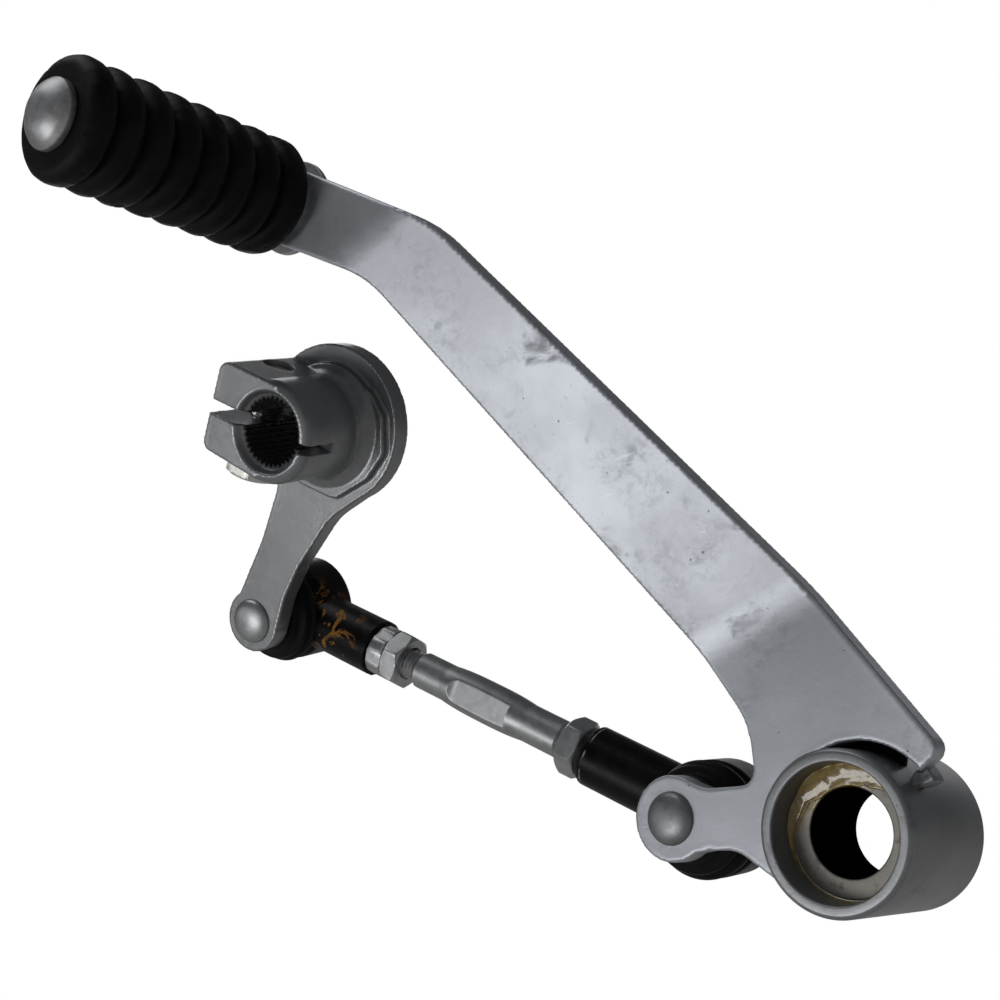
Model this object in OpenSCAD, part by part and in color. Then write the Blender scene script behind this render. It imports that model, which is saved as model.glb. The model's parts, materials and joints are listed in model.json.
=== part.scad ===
// Motorcycle gear shift lever with ball-jointed tie rod and splined clamp arm.
// Origin: centre of the pivot bore, halfway along the boss. +X rearward, +Y inboard, +Z up.

/* [Pivot boss] */
// Outside diameter of the boss
boss_d = 26; // [24.5:0.5:28]
// Length of the boss along the pivot
boss_l = 26.8; // [24:0.2:30]
// Bore of the pivot sleeve
sleeve_bore_d = 14; // [12:0.5:16]
// Outside diameter of the pivot sleeve
sleeve_d = 20.4; // [19.4:0.1:20.6]
// Length of the pivot sleeve and its bush
sleeve_l = 16; // [12:0.5:18]
// Depth of the open recess at the outboard end
recess_depth = 5.8; // [4:0.2:7]
// Bore of the boss, which holds the bush
boss_bore_d = 21.7; // [21.6:0.1:22.2]
// Radial running gap of the sleeve and the threads
running_gap = 0.05; // [0.02:0.01:0.09]

/* [Lever plate] */
// Thickness of the pressed plate
plate_t = 4; // [3:0.5:5]
// Distance from the outboard end of the boss to the plate
plate_inset = 3.9; // [3:0.1:6]
// Tilt of the middle stretch
bend_angle = 20; // [16:0.5:24]
// Height of the first bend line, square to the bends
bend_low = 37.3; // [35:0.1:39]
// Outboard offset between the two flat ends
bend_offset = 32.5; // [30:0.5:35]
// Turn of both bend lines from level
bend_turn = 18; // [15:0.5:20]
// Inside radius of the first bend
bend_low_r = 22; // [10:1:26]
// Inside radius of the second bend
bend_high_r = 16; // [8:1:18]

/* [Foot peg] */
// Position of the peg from the pivot, [x, z]
peg_at = [-86.3, 127.6];
// Diameter of the peg core
peg_core_d = 10; // [8:0.5:12]
// Diameter of the peg's domed head
peg_head_d = 12.8; // [11:0.2:15]
// Length of the rubber
rubber_l = 49.2; // [42:0.2:52]
// Diameter over the rubber's rings
rubber_d = 23; // [20:0.2:24]
// Number of rings on the rubber
rubber_rings = 8; // [6:1:9]

/* [Ball joints] */
// Diameter of the ball
ball_d = 10; // [9:0.5:10.5]
// Outside diameter of the plastic seat
seat_d = 14; // [13.4:0.1:14.2]
// Diameter of the joint housing
housing_d = 20.4; // [19:0.2:22]
// Diameter of the housing's threaded shank
shank_d = 11.5; // [10.5:0.1:12.5]
// Distance from the ball back to the outboard face of the plate
stud_reach = 14.9; // [14.5:0.1:16]
// Centre of the lower ball
lever_ball = [-31.85, 5.4, 5.1];
// Centre of the upper ball
arm_ball = [-120.8, -8, 57.1];
// Ball centre to the end of the lower shank
lever_shank_l = 27; // [24:0.5:28]
// Ball centre to the end of the upper shank
arm_shank_l = 23.7; // [22:0.1:26]

/* [Tie rod] */
// Diameter of the rod
rod_d = 7.3; // [7:0.1:8]
// Thread diameter of the rod and the pinch bolt
thread_d = 5.9; // [5.5:0.1:6]
// Diameter across the flats of the nuts and the bolt head
wrench_af = 10; // [9:0.5:10]

/* [Clamp arm] */
// Distance from the hub axis to the ball
arm_reach = 46.5; // [44:0.5:50]
// Tilt of the arm on its ball, and its turn from square
arm_tilt = [16.5, 0, 3.84];
// Radius over the tips of the serrations
spline_tip_r = 5.95; // [5.8:0.05:6]
// Radius at the root of the serrations
spline_root_r = 6.8; // [6.5:0.05:6.9]
// Number of serrations
spline_count = 36; // [24:1:40]
// Diameter of the hub
hub_d = 19.4; // [18:0.2:20]
// Length of the hub, from its face to the flange
hub_l = 18.9; // [17:0.1:20]
// Diameter of the round flange
flange_d = 31; // [29:0.5:33]
// Thickness of the flange and arm
arm_t = 4; // [3:0.5:5]
// Half the height over the clamp ears
ear_half = 9.2; // [8.8:0.1:9.3]
// Reach of the clamp ears from the hub axis
ear_reach = 14; // [13:0.5:15]
// Width of the clamp slot
slot_w = 2.6; // [2:0.2:3]

/* [Hidden] */
$fn = 64;

eps = 0.01;
boss_r = boss_d / 2;
front_y = -boss_l / 2;
sleeve_y = front_y + recess_depth;
plate_y = front_y + plate_inset;
end_y = plate_y - bend_offset;
bend_high = bend_low + bend_offset / tan(bend_angle);
eye_at = [lever_ball[0], lever_ball[2]];
eye_r = 7.25;
peg_end_r = 7.5;
stud_r = 3.4;
rivet_r = 4.5;
edge_r = 0.8;
corner_step = 6;
bend_steps = 12;
shoulder_y = plate_t - stud_reach;
housing_front = -5;
housing_back = 6.4;
thread_bore_r = thread_d / 2 + running_gap;
rod_dir = unit(arm_ball - lever_ball);
rod_l = norm(arm_ball - lever_ball);
arm_eye_turn = 226.3;
ear_turn = 145;
bolt_e = spline_tip_r + thread_d / 2 + 0.15;
bolt_depth = hub_l / 2 + 1.3;
spot_z = ear_half - 0.6;
cut = 60;

function unit(v) = v / norm(v);

// The part of v that is square to a
function square_to(v, a) = unit(v - (v * a) * a);

// Outline points for one corner [x, y, radius] between its neighbours a and b
function corner(a, p, b) =
    let(
        o = [p[0], p[1]],
        u = unit([a[0], a[1]] - o),
        v = unit([b[0], b[1]] - o),
        half = acos(u * v) / 2,
        c = o + unit(u + v) * p[2] / sin(half),
        s = o + u * p[2] / tan(half) - c,
        e = o + v * p[2] / tan(half) - c,
        from = atan2(s[1], s[0]),
        sweep = (atan2(e[1], e[0]) - from + 540) % 360 - 180,
        n = max(2, ceil(abs(sweep) / corner_step))
    )
    p[2] <= 0 ? [o] : [for (k = [0 : n]) c + p[2] * [cos(from + sweep * k / n), sin(from + sweep * k / n)]];

// Outline of a polygon whose corners [x, y, radius] are rounded
function rounded(pts) =
    [for (i = [0 : len(pts) - 1]) each corner(pts[(i + len(pts) - 1) % len(pts)], pts[i], pts[(i + 1) % len(pts)])];

// Children drawn with +X along x and +Y along y, at p
module place(p, x, y) {
    z = cross(x, y);
    multmatrix([
        [x[0], y[0], z[0], p[0]],
        [x[1], y[1], z[1], p[1]],
        [x[2], y[2], z[2], p[2]],
        [0, 0, 0, 1]])
        children();
}

// A 2D outline in (x, z), thick from y0 to y1
module slab(y0, y1) {
    translate([0, y1, 0]) rotate([90, 0, 0]) linear_extrude(y1 - y0) children();
}

// A cylinder along +Y from y0 to y1
module rod_y(r, y0, y1) {
    translate([0, y0, 0]) rotate([-90, 0, 0]) cylinder(r = r, h = y1 - y0);
}

// A cone along +Y from radius r0 at y0 to radius r1 at y1
module cone_y(r0, r1, y0, y1) {
    translate([0, y0, 0]) rotate([-90, 0, 0]) cylinder(r1 = r0, r2 = r1, h = y1 - y0);
}

// A cylinder along +X from x0 to x1
module rod_x(r, x0, x1) {
    translate([x0, 0, 0]) rotate([0, 90, 0]) cylinder(r = r, h = x1 - x0);
}

// A turned shape about +Y from 2D points [radius, y]
module turned_y(pts) {
    rotate([-90, 0, 0]) rotate_extrude() polygon(pts);
}

// ---- Pivot ----

module pivot_sleeve() {
    color("silver") difference() {
        rod_y(sleeve_d / 2, sleeve_y, sleeve_y + sleeve_l);
        rod_y(sleeve_bore_d / 2, sleeve_y - 1, sleeve_y + sleeve_l + 1);
    }
}

module pivot_bush() {
    color("goldenrod") difference() {
        rod_y(boss_bore_d / 2, sleeve_y, sleeve_y + sleeve_l);
        rod_y(sleeve_d / 2 + running_gap, sleeve_y - 1, sleeve_y + sleeve_l + 1);
    }
}

module pivot_boss() {
    back = front_y + boss_l;
    inner = boss_bore_d / 2;
    color("dimgray") turned_y([
        [inner, front_y + edge_r / 2], [inner + edge_r / 2, front_y],
        [boss_r - edge_r, front_y], [boss_r, front_y + edge_r],
        [boss_r, back - edge_r], [boss_r - edge_r, back],
        [inner + edge_r / 2, back], [inner, back - edge_r / 2]]);
}

// ---- Lever plate ----

// Points of an arc about c, from angle a0 to a1
function arc(c, r, a0, a1) =
    [for (k = [0 : bend_steps]) let(a = a0 + (a1 - a0) * k / bend_steps) c + r * [cos(a), sin(a)]];

// Side view of the bent plate in (y, height square to the bends)
module plate_profile() {
    low_r = bend_low_r;
    high_r = bend_high_r;
    c1 = [plate_y - low_r, bend_low - low_r * tan(bend_angle / 2)];
    c2 = [end_y + high_r + plate_t, bend_high + (high_r + plate_t) * tan(bend_angle / 2)];
    tilt = 180 + bend_angle;
    polygon(concat(
        [[plate_y + plate_t, -cut]], arc(c1, low_r + plate_t, 0, bend_angle), arc(c2, high_r, tilt, 180),
        [[end_y + plate_t, c2[1] + cut], [end_y, c2[1] + cut]],
        arc(c2, high_r + plate_t, 180, tilt), arc(c1, low_r, bend_angle, 0), [[plate_y, -cut]]));
}

// Front view of the plate in (x, z), without its two round ends
module plate_outline() {
    top = peg_at + peg_end_r * [0.6, 0.8];
    low = peg_at - peg_end_r * [0.6, 0.8];
    polygon(rounded([
        [17.6, 10.8, 2.4],
        [-50.1, 111.6, 25],
        [top[0], top[1], 0],
        [low[0], low[1], 0],
        [-66.2, 106, 20],
        [-15, 19, 14],
        [-15, 8.9, 2.6],
        [-24.6, 9.4, 4],
        [eye_at[0] + 3.7, eye_at[1] + 6, 0],
        [eye_at[0] + 3.7, eye_at[1] - 6.1, 0],
        [-25.2, -0.7, 4],
        [-19.8, -1.1, 6],
        [-12.4, -6.9, 0.4],
        [-8, -3, 0],
        [8, 3, 0],
        [13.7, 8.2, 0.4]]));
}

module plate_blank() {
    intersection() {
        slab(end_y - 1, plate_y + plate_t + 1) plate_outline();
        rotate([0, -bend_turn, 0]) rotate([90, 0, 90])
            translate([0, 0, -2 * cut]) linear_extrude(4 * cut) plate_profile();
    }
    translate([eye_at[0], 0, eye_at[1]]) rotate([0, 180, 0]) rod_y(eye_r, plate_y, plate_y + plate_t);
    translate([peg_at[0], 0, peg_at[1]]) rod_y(peg_end_r, end_y, end_y + plate_t);
}

module lever_plate() {
    gap_at = [2.6, 0.3];
    gap_r = boss_r + 0.6;
    color("lightsteelblue") difference() {
        plate_blank();
        rod_y(boss_r, plate_y - 1, plate_y + plate_t + 1);
        translate([gap_at[0], 0, gap_at[1]]) rod_y(gap_r, plate_y - 1, plate_y + plate_t + 1);
        translate([eye_at[0], 0, eye_at[1]]) rod_y(stud_r, plate_y - 1, plate_y + plate_t + 1);
        translate([peg_at[0], 0, peg_at[1]]) rod_y(peg_core_d / 2 - 1, end_y - 1, end_y + plate_t + 1);
    }
}

// Weld beads: one along the back of the joint, one at the tip and one at the lower end
module boss_welds() {
    back = plate_y + plate_t;
    leg = 2.2;
    color("gray") {
        rotate([-90, 0, 0]) rotate([0, 0, -196]) rotate_extrude(angle = 150)
            polygon([[boss_r, back], [boss_r + leg, back], [boss_r, back + leg]]);
        difference() {
            translate([14.5, 0, 7.9]) rod_y(1.7, plate_y + 1.4, back + 1.2);
            rod_y(boss_r, back - 4, back + 4);
            lever_plate();
        }
        difference() {
            translate([-12.3, 0, -7.4]) rod_y(1.6, plate_y + 1, back + 0.8);
            rod_y(boss_r, back - 6, back + 4);
            lever_plate();
        }
    }
}

// ---- Foot peg ----

module peg_pin() {
    head_y = end_y - 1.1 - rubber_l;
    head_t = 4.2;
    head_r = peg_head_d / 2;
    neck_r = peg_core_d / 2 - 1;
    tail_y = end_y + plate_t;
    color("slategray") translate([peg_at[0], 0, peg_at[1]]) turned_y([
        [0, head_y - head_t], [0.45 * head_r, head_y - 0.9 * head_t], [0.8 * head_r, head_y - 0.62 * head_t],
        [head_r, head_y - 0.25 * head_t], [head_r, head_y],
        [peg_core_d / 2, head_y], [peg_core_d / 2, end_y - 1.1], [9, end_y - 1.1], [9, end_y],
        [neck_r, end_y], [neck_r, tail_y], [9.3, tail_y], [9.3, tail_y + 1.4],
        [7, tail_y + 2.4], [0, tail_y + 2.8]]);
}

// A rubber sleeve with thick end rings and narrower rings between them
module peg_rubber() {
    y0 = end_y - 1.1 - rubber_l;
    pitch = rubber_l / rubber_rings;
    crest = rubber_d / 2;
    valley = crest - 2;
    steps = 8;
    wall = [for (i = [0 : rubber_rings * steps])
        let(w = (1 - cos(360 * i / steps)) / 2)
        [valley + (crest - valley) * sqrt(w), y0 + pitch * i / steps]];
    color("black") translate([peg_at[0], 0, peg_at[1]])
        turned_y(concat([[peg_core_d / 2, y0]], wall, [[peg_core_d / 2, y0 + rubber_l]]));
}

// ---- Ball joints, drawn about the ball centre ----

// Riveted ball stud along Y, head outboard
module ball_stud() {
    head_y = -stud_reach;
    color("silver") {
        sphere(d = ball_d);
        rod_y(2.8, shoulder_y, 0);
        rod_y(4.2, shoulder_y, shoulder_y + 1);
        rod_y(stud_r, head_y, shoulder_y);
        difference() {
            translate([0, head_y + 4.6, 0]) sphere(r = 6.44);
            rod_y(9, head_y, 9);
        }
    }
}

// Plastic seat that grips the ball
module ball_seat() {
    mouth_y = -4.6;
    color("ivory") rotate([-90, 0, 0]) difference() {
        intersection() {
            sphere(d = seat_d - 0.04);
            translate([0, 0, mouth_y]) cylinder(r = seat_d, h = 2 * seat_d);
        }
        sphere(d = ball_d + 0.06);
        translate([0, 0, -seat_d]) cylinder(r = 3.4, h = seat_d);
    }
}

// Housing with its shank along +X to x = length, and the seat's pocket open at the back
module ball_housing(length) {
    r = housing_d / 2;
    bevel = 1.2;
    color([0.1, 0.1, 0.11]) difference() {
        union() {
            turned_y([[0, housing_front], [r - 2 * bevel, housing_front], [r, housing_front + 2 * bevel],
                [r, housing_back - bevel], [r - bevel, housing_back], [0, housing_back]]);
            rod_x(shank_d / 2, 5, length);
        }
        sphere(d = seat_d + 0.06);
        rod_y(seat_d / 2 + 0.03, 0, housing_back + 1);
        rod_x(thread_bore_r, r + 1.5, length + 1);
    }
}

// Pressed plug that closes the housing
module housing_cap() {
    color([0.15, 0.15, 0.16]) difference() {
        rod_y(seat_d / 2 + 0.03, 4.4, housing_back + 0.6);
        sphere(d = seat_d + 0.06);
    }
}

// Rubber boot on the housing's mouth
module dust_boot() {
    top = housing_front - 3.1;
    color([0.06, 0.06, 0.06]) turned_y([
        [6.2, housing_front], [5.3, top], [6.3, top], [7.1, top + 1.2], [6.8, top + 1.7], [7.7, housing_front]]);
}

// Frames of the two joints: shank axis and mouth axis
module lever_joint() {
    place(lever_ball, rod_dir, square_to([0, 1, 0], rod_dir)) children();
}

module arm_joint() {
    place(arm_ball, -rod_dir, square_to(arm_axis, rod_dir)) children();
}

// Frame of a swivelling arm on its ball
module arm_frame() {
    translate(arm_ball) rotate(arm_tilt) children();
}

arm_axis = [-sin(arm_tilt[2]) * cos(arm_tilt[0]), cos(arm_tilt[2]) * cos(arm_tilt[0]), sin(arm_tilt[0])];

module lever_ball_stud() { translate(lever_ball) ball_stud(); }
module lever_ball_seat() { translate(lever_ball) ball_seat(); }
module lever_ball_housing() { lever_joint() ball_housing(lever_shank_l); }
module lever_housing_cap() { lever_joint() housing_cap(); }
module lever_dust_boot() { lever_joint() dust_boot(); }
module arm_ball_housing() { arm_joint() ball_housing(arm_shank_l); }
module arm_housing_cap() { arm_joint() housing_cap(); }
module arm_dust_boot() { arm_joint() dust_boot(); }
module arm_ball_seat() { arm_frame() ball_seat(); }
module arm_ball_stud() { arm_frame() ball_stud(); }

// ---- Tie rod and its nuts, drawn along +X from the lower ball ----

body_start = lever_shank_l + 6.4;
body_end = rod_l - arm_shank_l - 10.9;
flat_start = 45.3;
flat_end = 58.6;

module tie_rod() {
    flat = 3.3;
    waist_r = 4;
    thread_in = 8;
    color("silver") lever_joint() difference() {
        union() {
            rod_x(thread_d / 2, lever_shank_l - thread_in, body_start);
            rod_x(rod_d / 2, body_start, body_end);
            rod_x(waist_r, flat_start - 1, flat_end + 1);
            rod_x(thread_d / 2, body_end, rod_l - arm_shank_l + thread_in);
        }
        for (side = [-1, 1])
            translate([(flat_start + flat_end) / 2, side * (flat + 5), 0])
                cube([flat_end - flat_start, 10, 12], center = true);
    }
}

// Hexagon nut from x0 to x1, with one corner turned by a degrees from outboard
module hex_nut(x0, x1, a) {
    difference() {
        translate([x0, 0, 0]) rotate([a, 0, 0]) rotate([0, 90, 0]) rotate([0, 0, 90])
            cylinder(d = wrench_af / cos(30), h = x1 - x0, $fn = 6);
        rod_x(thread_bore_r, x0 - 1, x1 + 1);
    }
}

module lever_lock_nut() {
    start = lever_shank_l + 1.4;
    color("silver") lever_joint() hex_nut(start, start + 4.2, 14);
}

module arm_lock_nut() {
    end = rod_l - arm_shank_l;
    collar = 3.8;
    color("silver") lever_joint() {
        hex_nut(end - collar - 4.1, end - collar, -13.5);
        difference() {
            rod_x(5.3, end - collar, end);
            rod_x(thread_bore_r, end - collar - 1, end + 1);
        }
    }
}

// ---- Clamp arm, drawn about its hub axis with the hub face at y = 0 ----

hub_to_ball = [arm_reach * cos(arm_eye_turn), hub_l + stud_reach, arm_reach * sin(arm_eye_turn)];

module hub_frame() {
    arm_frame() translate(-hub_to_ball) children();
}

// Children with +X turned to the clamp ears
module ear_frame() {
    rotate([0, -ear_turn, 0]) children();
}

// Flat arm from the flange to its round eye, in (x, z)
module arm_outline() {
    eye_step = 7.96;
    eye = [for (a = [-122.84 : eye_step : 108.1]) [arm_reach + 6.35 * cos(a), 6.35 * sin(a), 0]];
    rotate(arm_eye_turn) polygon(rounded(concat(
        [[8.5, -11.6, 0], [17, -6.3, 14], [30, -5.1, 0]], eye,
        [[arm_reach - 9, 5, 6], [30, 5.3, 0], [17, 7.7, 14], [8.5, 12.8, 0]])));
}

// Raised pad between the hub and the flange, in (x, z)
module pad_outline() {
    polygon(rounded([
        [1.6, 11.4, 1.5], [-9, 8.4, 3], [-12.4, 0, 4], [-10.4, -9, 3], [-2.6, -14.2, 3.5],
        [6.4, -12.2, 4], [11.6, -8.6, 3], [13.6, -1.6, 2.5], [12.2, 3.4, 3], [7.2, 8.2, 3]]));
}

// Serrated bore: a round bore at the tips, with grooves out to the roots
module spline_cut(y0, y1) {
    pitch = 360 / spline_count;
    mouth_half = spline_tip_r * sin(pitch * 0.48);
    root_half = spline_root_r * sin(pitch * 0.06);
    inner = spline_tip_r - 0.3;
    rod_y(spline_tip_r, y0, y1);
    slab(y0, y1) for (i = [0 : spline_count - 1]) rotate(i * pitch)
        polygon([[inner, -mouth_half], [spline_root_r, -root_half],
            [spline_root_r, root_half], [inner, mouth_half]]);
}

module clamp_arm() {
    mouth = 1.6;
    slot_depth = 15.5;
    relief_depth = 8;
    eye = arm_reach * [cos(arm_eye_turn), sin(arm_eye_turn)];
    hub_r = hub_d / 2;
    color("slategray") hub_frame() difference() {
        union() {
            turned_y([[0, 0], [hub_r - 1.5, 0], [hub_r - 0.45, 0.45], [hub_r, 1.5], [hub_r, hub_l - 4.6],
                [hub_r + 0.3, hub_l - 3.4], [hub_r + 1, hub_l - 2.4], [hub_r + 2.2, hub_l - 1.8],
                [hub_r + 2.2, hub_l], [0, hub_l]]);
            slab(hub_l - 1.7, hub_l) pad_outline();
            rod_y(flange_d / 2, hub_l, hub_l + arm_t);
            slab(hub_l, hub_l + arm_t) arm_outline();
            ear_frame() slab(0, hub_l)
                polygon(rounded([[0, -ear_half, 0], [ear_reach, -ear_half, 2.2],
                    [ear_reach, ear_half - 0.8, 1.8], [0, ear_half, 0]]));
        }
        spline_cut(-1, hub_l + arm_t + 1);
        cone_y(7.8, spline_root_r + 0.2, -eps, mouth);
        ear_frame() translate([0, -1, -slot_w / 2]) cube([2 * ear_reach, slot_depth + 1, slot_w]);
        ear_frame() translate([-2 * hub_r, -1, -0.9]) cube([2 * hub_r, relief_depth + 1, 1.8]);
        ear_frame() translate([bolt_e, bolt_depth, -cut]) cylinder(r = thread_bore_r, h = 2 * cut);
        ear_frame() translate([bolt_e, bolt_depth, spot_z]) cylinder(r = 6.3, h = 8);
        translate([eye[0], 0, eye[1]]) rod_y(stud_r, hub_l - 1, hub_l + arm_t + 1);
    }
}

module pinch_bolt() {
    head_t = 4;
    color("silver") hub_frame() ear_frame() translate([bolt_e, bolt_depth, 0]) {
        translate([0, 0, 1 - ear_half]) cylinder(d = thread_d, h = 2 * ear_half - 1);
        translate([0, 0, spot_z]) cylinder(r = 4.85, h = 1);
        translate([0, 0, ear_half]) cylinder(d = wrench_af / cos(30), h = head_t, $fn = 6);
    }
}

pivot_sleeve();
pivot_bush();
pivot_boss();
lever_plate();
boss_welds();
peg_pin();
peg_rubber();
lever_ball_stud();
lever_ball_seat();
lever_ball_housing();
lever_housing_cap();
lever_dust_boot();
tie_rod();
lever_lock_nut();
arm_lock_nut();
arm_ball_housing();
arm_housing_cap();
arm_ball_seat();
arm_dust_boot();
arm_ball_stud();
clamp_arm();
pinch_bolt();
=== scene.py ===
"""Looks for the gear shift lever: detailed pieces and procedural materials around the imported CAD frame.

Lengths in the shapes and the materials are in millimetres, unless a comment says metres; Blender's own
are in metres, and MM turns one into the other.
"""

import json
import math

import bmesh
import bpy
import numpy as np
from mathutils import Matrix, Vector, noise


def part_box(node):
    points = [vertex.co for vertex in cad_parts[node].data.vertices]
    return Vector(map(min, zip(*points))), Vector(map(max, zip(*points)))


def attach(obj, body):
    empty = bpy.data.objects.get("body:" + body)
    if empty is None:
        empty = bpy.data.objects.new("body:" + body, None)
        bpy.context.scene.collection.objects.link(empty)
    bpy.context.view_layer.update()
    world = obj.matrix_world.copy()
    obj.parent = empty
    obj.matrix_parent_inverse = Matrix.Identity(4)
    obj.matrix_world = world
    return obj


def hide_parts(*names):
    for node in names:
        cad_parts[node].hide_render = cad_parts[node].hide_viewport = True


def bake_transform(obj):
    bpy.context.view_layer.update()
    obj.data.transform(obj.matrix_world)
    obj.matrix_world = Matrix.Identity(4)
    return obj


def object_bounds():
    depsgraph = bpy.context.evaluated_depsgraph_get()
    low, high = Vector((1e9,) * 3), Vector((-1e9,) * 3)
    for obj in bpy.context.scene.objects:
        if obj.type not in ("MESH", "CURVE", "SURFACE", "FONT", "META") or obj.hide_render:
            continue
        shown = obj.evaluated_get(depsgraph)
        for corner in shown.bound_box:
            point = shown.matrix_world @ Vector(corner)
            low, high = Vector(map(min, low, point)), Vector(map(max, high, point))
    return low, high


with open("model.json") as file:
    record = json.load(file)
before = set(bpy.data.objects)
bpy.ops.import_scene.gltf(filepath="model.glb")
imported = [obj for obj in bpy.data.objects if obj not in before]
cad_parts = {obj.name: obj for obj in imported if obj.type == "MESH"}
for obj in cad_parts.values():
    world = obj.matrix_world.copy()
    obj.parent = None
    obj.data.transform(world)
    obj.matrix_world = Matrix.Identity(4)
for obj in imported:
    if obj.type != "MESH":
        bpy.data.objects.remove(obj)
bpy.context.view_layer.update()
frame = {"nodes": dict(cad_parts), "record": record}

MM = 0.001
VOXEL_SCALE = 1.0  # coarser voxels while trying things
WELD_DISTANCE = 2e-7  # metres: CAD corners this close are one
TAU = 2 * math.pi

# ---------------------------------------------------------------- places from the record

JOINTS = {j["name"]: j for j in frame["record"]["behaviour"]["joints"]}
MOUNTS = {m["name"]: m for m in frame["record"]["mounts"]}
BODY_OF = {n: b for b, ns in frame["record"]["behaviour"]["bodies"].items() for n in ns}

PIVOT = Vector(JOINTS["lever_pivot"]["pos_m"])
LEVER_BALL = Vector(JOINTS["lever_ball_swivel"]["pos_m"])
ARM_BALL = Vector(JOINTS["arm_ball_swivel"]["pos_m"])
ROD_DIR = Vector(JOINTS["rod_turn"]["axis"]).normalized()
ARM_AXIS = Vector(JOINTS["arm_ball_swivel"]["axis"]).normalized()
X_AXIS, Y_AXIS = Vector((1, 0, 0)), Vector((0, 1, 0))


def square_to(v, a):
    """The direction of v's part that is square to the unit vector a."""
    return (v - v.dot(a) * a).normalized()


def columns(x, y, z, origin):
    """The matrix with these columns."""
    m = Matrix.Identity(4)
    for i, column in enumerate((x, y, z, origin)):
        for k in range(3):
            m[k][i] = column[k]
    return m


def place(origin, x, y):
    """Frame with +X along x and +Y along y, at origin."""
    return columns(x, y, x.cross(y), origin)


LEVER_STUD = place(LEVER_BALL, X_AXIS, Y_AXIS)
LEVER_JOINT = place(LEVER_BALL, ROD_DIR, square_to(Y_AXIS, ROD_DIR))
ARM_JOINT = place(ARM_BALL, -ROD_DIR, square_to(ARM_AXIS, ROD_DIR))
ARM_X = Vector((ARM_AXIS.y, -ARM_AXIS.x, 0)).normalized()
ARM_STUD = place(ARM_BALL, ARM_X, ARM_AXIS)

# ---------------------------------------------------------------- mesh tools


def rounded(points, step=12.0, closed=True):
    """Corners [u, v, radius] of an outline turned into arcs; returns [u, v] points."""
    out = []
    n = len(points)
    for i, p in enumerate(points):
        o = np.array(p[:2], float)
        r = p[2] if len(p) > 2 else 0
        if r <= 0 or (not closed and i in (0, n - 1)):
            out.append(o)
            continue
        u = np.array(points[i - 1][:2], float) - o
        v = np.array(points[(i + 1) % n][:2], float) - o
        u, v = u / np.linalg.norm(u), v / np.linalg.norm(v)
        half = math.acos(np.clip(u @ v, -1, 1)) / 2
        c = o + (u + v) / np.linalg.norm(u + v) * r / math.sin(half)
        s, e = o + u * r / math.tan(half) - c, o + v * r / math.tan(half) - c
        a = math.atan2(s[1], s[0])
        sweep = (math.atan2(e[1], e[0]) - a + 3 * math.pi) % TAU - math.pi
        k = max(3, math.ceil(abs(math.degrees(sweep)) / step))
        for j in range(k + 1):
            t = a + sweep * j / k
            out.append(c + r * np.array([math.cos(t), math.sin(t)]))
    return out


def new_object(name, verts, faces, matrix=None):
    """A mesh object with its normals turned outward."""
    mesh = bpy.data.meshes.new(name)
    mesh.from_pydata([tuple(v) for v in verts], [], faces)
    if matrix is not None:
        mesh.transform(matrix)
    mesh.validate()
    bm = bmesh.new()
    bm.from_mesh(mesh)
    bmesh.ops.recalc_face_normals(bm, faces=bm.faces)
    bm.to_mesh(mesh)
    bm.free()
    obj = bpy.data.objects.new(name, mesh)
    bpy.context.scene.collection.objects.link(obj)
    return obj


def skin(name, rings, matrix, loop=False):
    """A closed surface through rings of points (mm), joined end to end or closed with a centre point."""
    rings = [np.asarray(r, float) for r in rings]
    size, count = len(rings[0]), len(rings)
    verts = np.vstack(rings) * MM
    faces = []
    for k in range(count if loop else count - 1):
        a, b = k * size, ((k + 1) % count) * size
        for i in range(size):
            j = (i + 1) % size
            faces.append((a + i, a + j, b + j, b + i))
    if not loop:
        tips = [rings[0].mean(0) * MM, rings[-1].mean(0) * MM]
        for tip, base in zip(tips, (0, (count - 1) * size)):
            verts = np.vstack([verts, tip])
            for i in range(size):
                faces.append((base + (i + 1) % size, base + i, len(verts) - 1))
    return new_object(name, verts, faces, matrix)


def turned(name, profile, matrix, loop=False, segments=128, shape=None):
    """A shape turned about +Y from [radius, y] points; shape(radius, y, angle) may bend the radius."""
    angles = np.arange(segments) * TAU / segments
    rings = []
    for r, y in profile:
        radii = np.full(segments, float(r))
        if shape is not None:
            radii = np.array([shape(r, y, a) for a in angles])
        rings.append(
            np.stack([radii * np.cos(angles), np.full(segments, y), radii * np.sin(angles)], 1)
        )
    return skin(name, rings, matrix, loop)


def dense(points, gap):
    """More points along an outline, at most gap apart."""
    out = [np.array(points[0], float)]
    for a, b in zip(points[:-1], points[1:]):
        a, b = np.array(a, float), np.array(b, float)
        n = max(1, math.ceil(np.linalg.norm(b - a) / gap))
        out += [a + (b - a) * k / n for k in range(1, n + 1)]
    return out


def relax(mesh, rounds, keep=None):
    """Taubin smoothing: rounds the edges of a mesh and keeps its size. keep(points) gives weights 0 to 1."""
    shrink, swell = 0.5, -0.52
    n = len(mesh.vertices)
    co = np.empty(n * 3)
    mesh.vertices.foreach_get("co", co)
    co = co.reshape(-1, 3)
    edges = np.empty(len(mesh.edges) * 2, np.int64)
    mesh.edges.foreach_get("vertices", edges)
    a, b = edges.reshape(-1, 2).T
    degree = np.bincount(a, minlength=n) + np.bincount(b, minlength=n)
    weight = np.ones(n) if keep is None else keep(co)
    for k in range(2 * rounds):
        factor = shrink if k % 2 == 0 else swell
        total = np.stack(
            [
                np.bincount(a, co[b, i], minlength=n) + np.bincount(b, co[a, i], minlength=n)
                for i in range(3)
            ],
            1,
        )
        co = co + (factor * weight)[:, None] * (total / np.maximum(degree, 1)[:, None] - co)
    mesh.vertices.foreach_set("co", co.ravel())
    mesh.update()


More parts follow.
